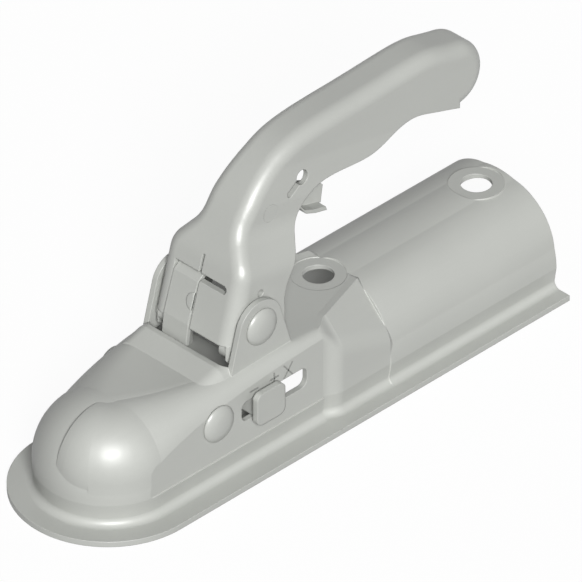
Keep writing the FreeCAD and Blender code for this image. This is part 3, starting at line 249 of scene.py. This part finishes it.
# %% Geometry trees
def new_growth(name, inputs):
    """Geometry tree with named inputs of (kind, value); gives the tree and a value to start from."""
    tree = bpy.data.node_groups.new(name, "GeometryNodeTree")
    tree.interface.new_socket("Geometry", in_out="INPUT", socket_type="NodeSocketGeometry")
    tree.interface.new_socket("Geometry", in_out="OUTPUT", socket_type="NodeSocketGeometry")
    for label, (kind, value) in inputs.items():
        tree.interface.new_socket(label, in_out="INPUT", socket_type=kind).default_value = value
    return tree, Value(tree)


def size_input(start, label):
    """One of the tree's named inputs."""
    return start.node("NodeGroupInput", output=label)


def finish_growth(start, shape, material):
    """Ends a tree: real geometry, smooth shading and its material."""
    real = start.node("GeometryNodeRealizeInstances", inputs={0: shape})
    smooth = start.node("GeometryNodeSetShadeSmooth", inputs={0: real})
    dressed = start.node("GeometryNodeSetMaterial", inputs={0: smooth, "Material": material})
    start.node("NodeGroupOutput", inputs={"Geometry": dressed})


def grow(name, tree, sizes, seed_mesh=None):
    """Runs a tree on a mesh with these sizes and leaves a plain object at the origin."""
    piece = bpy.data.objects.new(name, seed_mesh or bpy.data.meshes.new(name))
    bpy.context.scene.collection.objects.link(piece)
    modifier = piece.modifiers.new("growth", "NODES")
    modifier.node_group = tree
    for label, value in sizes.items():
        modifier[tree.interface.items_tree[label].identifier] = value
    evaluated = piece.evaluated_get(bpy.context.evaluated_depsgraph_get())
    plain = bpy.data.meshes.new_from_object(evaluated)
    piece.modifiers.clear()
    piece.data = plain
    plain.name = name
    print(name, "has", len(plain.polygons), "faces")
    return piece


# %% [markdown]
# The lock spring pushes the slide against the jaw. A real compression spring doesn't simply end: its last
# turn on both ends lies flat against its neighbour, so that it stands square. The wire's way is written as
# a rule. The point at turn u climbs by one wire in the first turn, by the pitch in the free turns, and by
# one wire in the last. When the handle is lifted the slide comes back and squashes the spring towards the
# bracket; here the coil is wound once, to the length between the bracket and the slide as they stand.

# %% Lock spring
TURN_POINTS = 36
SECTION_POINTS = 14
BRACKET_SHEET = 0.0025

coil_tree, start = new_growth("compression_spring", {
    "Turns": (FLOAT, 8.0), "Mean Radius": (FLOAT, 0.007), "Wire": (FLOAT, 0.0018),
    "Length": (FLOAT, 0.025), "Start": (FLOAT, -0.092), "Level": (FLOAT, 0.0094)})
turns = size_input(start, "Turns")
wire = size_input(start, "Wire")
radius = size_input(start, "Mean Radius")
turned = start.node("GeometryNodeSplineParameter", output="Factor") * turns
free_pitch = (size_input(start, "Length") - wire * 3.0) / (turns - 2.0)
first = start.math("MINIMUM", turned, 1.0)
last = start.math("MAXIMUM", turned - (turns - 1.0), 0.0)
climb = (first + last) * wire + (turned - first - last) * free_pitch
across = radius * start.math("COSINE", turned * TAU)
up = radius * start.math("SINE", turned * TAU)
spot = start.node("ShaderNodeCombineXYZ", inputs={
    "X": size_input(start, "Start") + wire * 0.5 + climb, "Y": across, "Z": size_input(start, "Level") + up})
thread = start.node("GeometryNodeCurvePrimitiveLine")
count = start.math("ADD", turns * TURN_POINTS, 1.0)
points = start.node("GeometryNodeResampleCurve", inputs={"Curve": thread, "Count": count})
wound = start.node("GeometryNodeSetPosition", inputs={"Geometry": points, "Position": spot})
section = start.node("GeometryNodeCurvePrimitiveCircle", inputs={
    "Resolution": SECTION_POINTS, "Radius": wire * 0.5})
coil = start.node("GeometryNodeCurveToMesh", inputs={
    "Curve": wound, "Profile Curve": section, "Fill Caps": True})
finish_growth(start, coil, finishes["spring_steel"])

bracket_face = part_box("spring_bracket")[0][0] + BRACKET_SHEET
slide_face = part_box("lock_slide")[0][0]
spring_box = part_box("lock_spring")
spring_level = (spring_box[0][2] + spring_box[1][2]) / 2
spring_length = slide_face - bracket_face
lock_coil = grow("lock_coil", coil_tree, {
    "Turns": 6.0, "Mean Radius": 0.007, "Wire": 0.0018, "Length": spring_length,
    "Start": bracket_face, "Level": spring_level})
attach(lock_coil, "base")
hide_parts("lock_spring")
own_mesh(lock_coil)
print("lock spring of", round(spring_length * 1000, 1), "mm")

# %% [markdown]
# The rails and the bracket are welded inside the housing. A weld is a row of overlapping drops, each a
# little different from the next. The tree takes lines, walks along them in steps of one drop, and places a
# rounded drop at each step with a small change in size from a fixed seed.

# %% Weld beads
WELD_INSET = 0.002
SMALLEST_DROP, LARGEST_DROP = (0.85, 0.85, 0.85), (1.12, 1.12, 1.12)

bead_tree, start = new_growth("weld_beads", {
    "Step": (FLOAT, 0.0014), "Drop": (FLOAT, 0.0016), "Seed": ("NodeSocketInt", 4)})
lines = start.node("GeometryNodeMeshToCurve", inputs={0: size_input(start, "Geometry")})
steps = start.node("GeometryNodeCurveToPoints", {"mode": "LENGTH"},
                   {"Curve": lines, "Length": size_input(start, "Step")})
drop = start.node("GeometryNodeMeshIcoSphere", inputs={
    "Radius": size_input(start, "Drop"), "Subdivisions": 3})
change = start.node("FunctionNodeRandomValue", {"data_type": "FLOAT_VECTOR"},
                    {0: SMALLEST_DROP, 1: LARGEST_DROP, "Seed": size_input(start, "Seed")})
drops = start.node("GeometryNodeInstanceOnPoints", inputs={
    "Points": steps, "Instance": drop, "Scale": change})
finish_growth(start, drops, finishes["inner_steel"])

weld_lines = bmesh.new()
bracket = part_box("spring_bracket")


def add_line(start_spot, end_spot):
    """One weld's way, as an edge between two places."""
    weld_lines.edges.new([weld_lines.verts.new(start_spot), weld_lines.verts.new(end_spot)])


for side in ("left", "right"):
    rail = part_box(f"slide_rail_{side}")
    wall = rail[1][1] if side == "left" else rail[0][1]
    for level in (rail[0][2], rail[1][2]):
        add_line((rail[0][0] + WELD_INSET, wall, level), (rail[1][0] - WELD_INSET, wall, level))
for along in (bracket[0][0], bracket[1][0]):
    add_line((along, bracket[0][1] + WELD_INSET, bracket[1][2]),
             (along, bracket[1][1] - WELD_INSET, bracket[1][2]))
lines_mesh = bpy.data.meshes.new("weld_lines")
weld_lines.to_mesh(lines_mesh)
weld_lines.free()
beads = grow("weld_beads", bead_tree, {"Step": 0.0014, "Drop": 0.0015, "Seed": 4}, lines_mesh)
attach(beads, "base")

# %% [markdown]
# The two cross rivets are headed in a press. Such a head isn't a plain dome: it stands on a short upright
# rim with a little air under it, which draws the dark line round each head, and the tool leaves a faint
# ring round its crown. The rivet is turned from one profile, as on a lathe: each head's steps are shares of
# its radius and of its height, and the shank joins the two heads.

# %% Rivets with formed heads
HEAD_STEPS = [(0.0, 1.0), (0.2, 0.985), (0.4, 0.93), (0.56, 0.86), (0.6, 0.825), (0.74, 0.72),
              (0.86, 0.56), (0.94, 0.42), (0.985, 0.3), (1.0, 0.22), (1.0, 0.12), (0.95, 0.05),
              (0.95, -0.02)]
RIM_POINTS = 72
FULL_HEAD = (0.0081, 0.0034)  # radius and height of a head
LOW_HEAD = (0.0062, 0.0018)


def make_piece(name, mesh, material):
    """Object at the origin from a bmesh."""
    bmesh.ops.recalc_face_normals(mesh, faces=mesh.faces)
    data = bpy.data.meshes.new(name)
    mesh.to_mesh(data)
    mesh.free()
    data.materials.append(material)
    piece = bpy.data.objects.new(name, data)
    bpy.context.scene.collection.objects.link(piece)
    return piece


def turn_along_y(name, profile, centre_x, centre_z, material):
    """Solid turned about an axis along Y, from a profile of (radius, y) that starts and ends on the axis."""
    mesh = bmesh.new()
    rings = []
    for radius, y in profile:
        count = RIM_POINTS if radius else 1
        ring = []
        for step in range(count):
            angle = TAU * step / count
            place = (centre_x + radius * math.cos(angle), y, centre_z + radius * math.sin(angle))
            ring.append(mesh.verts.new(place))
        rings.append(ring)
    for low, high in zip(rings, rings[1:]):
        for step in range(RIM_POINTS):
            after = (step + 1) % RIM_POINTS
            corners = {low[step % len(low)]: 0, low[after % len(low)]: 0,
                       high[after % len(high)]: 0, high[step % len(high)]: 0}
            mesh.faces.new(list(corners)).smooth = True
    return make_piece(name, mesh, material)


RIVETS = {  # node: shank radius, right head, left head
    "jaw_pivot_rivet": (0.004, LOW_HEAD, FULL_HEAD),
    "handle_pivot_rivet": (0.0045, FULL_HEAD, FULL_HEAD),
}
for node, (shank, right, left) in RIVETS.items():
    low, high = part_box(node)
    right_face = low[1] + right[1]
    left_face = high[1] - left[1]
    profile = [(share * right[0], right_face - rise * right[1]) for share, rise in HEAD_STEPS]
    profile += [(shank, right_face), (shank, left_face)]
    profile += [(share * left[0], left_face + rise * left[1]) for share, rise in reversed(HEAD_STEPS)]
    centre_x = (low[0] + high[0]) / 2
    centre_z = (low[2] + high[2]) / 2
    rivet = turn_along_y(f"formed_{node}", profile, centre_x, centre_z, finishes["rivets"])
    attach(rivet, "base")
    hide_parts(node)
    print(node, "heads of", [round(2000 * head[0], 1) for head in (right, left)], "mm")

# %% [markdown]
# Three plain signs stand over the window: minus, plus and a cross. The tab points at one of them, which
# tells whether the ball is worn, held as it should be, or not caught at all. Each stroke is a raised bar
# with round ends, three tenths of a millimetre proud, made as one closed outline that is drawn out of the
# panel.

# %% Stamped signs over the window
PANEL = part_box("jaw_pivot_rivet")[1][1] - FULL_HEAD[1]
SIGN_LEVEL = 0.0222
SIGN_HALF = 0.0021
STROKE_HALF = 0.0003
PROUD = 0.0003
END_STEPS = 6
SIGNS = {
    "minus": (-0.0512, [((-1, 0), (1, 0))]),
    "plus": (-0.0625, [((-1.1, 0), (1.1, 0)), ((0, -1.1), (0, 1.1))]),
    "cross": (-0.0703, [((-1.1, -1.4), (1.1, 1.4)), ((-1.1, 1.4), (1.1, -1.4))]),
}


def add_bar(mesh, start, end):
    """Bar with round ends on the side panel, from start to end in X and Z."""
    along = (end - start).normalized()
    across = Vector((-along.y, along.x))
    rim = []
    for centre, turn in ((end, -1), (start, 1)):
        for step in range(END_STEPS + 1):
            angle = math.radians(90 * turn + 180 * step / END_STEPS)
            rim.append(centre + (along * math.cos(angle) + across * math.sin(angle)) * STROKE_HALF)
    low = [mesh.verts.new((spot.x, PANEL - PROUD, spot.y)) for spot in rim]
    high = [mesh.verts.new((spot.x, PANEL + PROUD, spot.y)) for spot in rim]
    mesh.faces.new(low)
    mesh.faces.new(high)
    for place in range(len(rim)):
        after = (place + 1) % len(rim)
        mesh.faces.new((low[place], low[after], high[after], high[place]))


signs = bmesh.new()
for centre, strokes in SIGNS.values():
    middle = Vector((centre, SIGN_LEVEL))
    for one_end, other_end in strokes:
        add_bar(signs, middle + Vector(one_end) * SIGN_HALF, middle + Vector(other_end) * SIGN_HALF)
sign_piece = make_piece("window_signs", signs, steel("stamped_steel", shade(ZINC, 0.55), edge=0.0001))
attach(sign_piece, "base")
print("signs:", ", ".join(SIGNS), "on the panel at", round(PANEL, 4))

# %% [markdown]
# The catch plate carries half of a round boss, pushed out of the sheet at its left edge. Its flat top
# stands half a millimetre proud and runs down in a short round. A ray cast along the plate's front finds
# the sheet, and the half ring of each step of the profile is laid on that plane.

# %% Boss on the catch plate
BOSS_RADIUS = 0.0038
BOSS_EDGE = -0.0004
BOSS_LEVEL = 0.0513
BOSS_STEPS = 18
RAY_START = 0.1  # ahead of the nose
RAY_INSET = 0.001
BOSS_PROFILE = [(1.0, -0.0004), (1.0, 0.0002), (0.93, 0.0004), (0.8, 0.00047), (0.4, 0.0005)]

_, face_spot, face_normal, _ = nodes["trigger_lever"].ray_cast(
    Vector((RAY_START, BOSS_EDGE - RAY_INSET, BOSS_LEVEL)), Vector((-1, 0, 0)))
face_spot.y = BOSS_EDGE
sheet_up = face_normal.cross(Vector((0, -1, 0))).normalized()
boss = bmesh.new()
rings = []
for share, lift in BOSS_PROFILE:
    ring = []
    for step in range(BOSS_STEPS + 1):
        angle = math.pi * (0.5 + step / BOSS_STEPS)
        way = Vector((0, 1, 0)) * math.cos(angle) + sheet_up * math.sin(angle)
        ring.append(boss.verts.new(face_spot + way * BOSS_RADIUS * share + face_normal * lift))
    rings.append(ring)
for low, high in zip(rings, rings[1:]):
    for step in range(BOSS_STEPS):
        boss.faces.new((low[step], low[step + 1], high[step + 1], high[step]))
boss.faces.new(rings[-1])
boss.faces.new(rings[0][::-1])
boss.faces.new([ring[0] for ring in rings] + [ring[-1] for ring in reversed(rings)])
for face in boss.faces:
    face.smooth = len(face.verts) == 4
boss_piece = make_piece("catch_boss", boss, finishes["trigger"])
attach(boss_piece, "trigger")
print("boss on the catch plate at", [round(value, 4) for value in face_spot])

# %% [markdown]
# The floor is a plain pale sheet under the flange. A camera ray or a reflection sees it almost as white
# paper, with a little of its shading left, which keeps the object's shadow. For light that bounces it is a
# dark sheet, because a white one would light the steel from below and take the shape out of the rounded
# sides.

# %% Floor
PAPER = (0.92, 0.92, 0.92, 1.0)
BOUNCE = (0.06, 0.06, 0.06, 1.0)
SELF_LIGHT = 0.95
FLOOR_GAP = 0.0001
FLOOR_HALF = 6.0
FLOOR_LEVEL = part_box("housing_front")[0][2] - FLOOR_GAP

floor_mesh = bmesh.new()
bmesh.ops.create_grid(floor_mesh, x_segments=1, y_segments=1, size=FLOOR_HALF)
bmesh.ops.translate(floor_mesh, verts=floor_mesh.verts, vec=(0, 0, FLOOR_LEVEL))
paper, start = new_tree("paper_floor")
seen = (start.node("ShaderNodeLightPath", output="Is Camera Ray")
        + start.node("ShaderNodeLightPath", output="Is Glossy Ray")).clamped()
tone = start.node("ShaderNodeMix", {"data_type": "RGBA"}, {0: seen, 6: BOUNCE, 7: PAPER}, 2)
matt = start.node("ShaderNodeBsdfDiffuse", inputs={"Color": tone})
glow = start.node("ShaderNodeEmission", inputs={"Color": (1, 1, 1, 1), "Strength": 1.0})
shown = start.node("ShaderNodeMixShader", inputs={0: seen * SELF_LIGHT, 1: matt, 2: glow})
start.node("ShaderNodeOutputMaterial", inputs={"Surface": shown})
floor = make_piece("floor", floor_mesh, paper)

# %% [markdown]
# The light is a plain studio: one large soft lamp in front, on the left and above, which shapes the faces
# and lays the broad highlights on the dome and the round edges. The world only fills the shadows a little.
# It is white for rays that come from the camera, a reflection or a clear body.

# %% Lamps and world
def add_sun(name, source, strength, soft):
    """Sun lamp that shines from a direction."""
    lamp = bpy.data.lights.new(name, "SUN")
    lamp.energy = strength
    lamp.angle = math.radians(soft)
    holder = bpy.data.objects.new(name, lamp)
    holder.rotation_euler = Vector(source).to_track_quat("Z", "Y").to_euler()
    bpy.context.scene.collection.objects.link(holder)


FILL = 0.03
LAMP_FROM = (0.52, 0.665, 0.535)
LAMP_STRENGTH = 1.38 * math.pi
LAMP_ANGLE = 20
add_sun("studio_lamp", LAMP_FROM, LAMP_STRENGTH, LAMP_ANGLE)

world = bpy.data.worlds.new("studio")
world.use_nodes = True
world.node_tree.nodes.clear()
bpy.context.scene.world = world
sky = Value(world.node_tree)
direct = (sky.node("ShaderNodeLightPath", output="Is Camera Ray")
          + sky.node("ShaderNodeLightPath", output="Is Glossy Ray")
          + sky.node("ShaderNodeLightPath", output="Is Transmission Ray")).clamped()
glow = sky.node("ShaderNodeBackground", inputs={
    "Color": (1, 1, 1, 1), "Strength": direct * (1 - FILL) + FILL})
sky.node("ShaderNodeOutputWorld", inputs={"Surface": glow})

# %% [markdown]
# The picture is an isometric view: the camera looks along the diagonal of a cube, from the front, the left
# and above. A very long lens far away gives it without perspective.

# %% Camera
LENS = 800.0
PICTURE_WIDTH = 0.2315
TARGET = Vector((-0.1018, 0.0, 0.0297))
SIGHT = Vector((1, 1, 1)).normalized()

camera_data = bpy.data.cameras.new("camera")
camera_data.lens = LENS
camera_data.clip_end = 100.0
camera = bpy.data.objects.new("camera", camera_data)
camera.location = TARGET + SIGHT * (PICTURE_WIDTH * LENS / camera_data.sensor_width)
camera.rotation_euler = SIGHT.to_track_quat("Z", "Y").to_euler()
bpy.context.scene.collection.objects.link(camera)
bpy.context.scene.camera = camera
bpy.context.scene.view_settings.view_transform = "Standard"
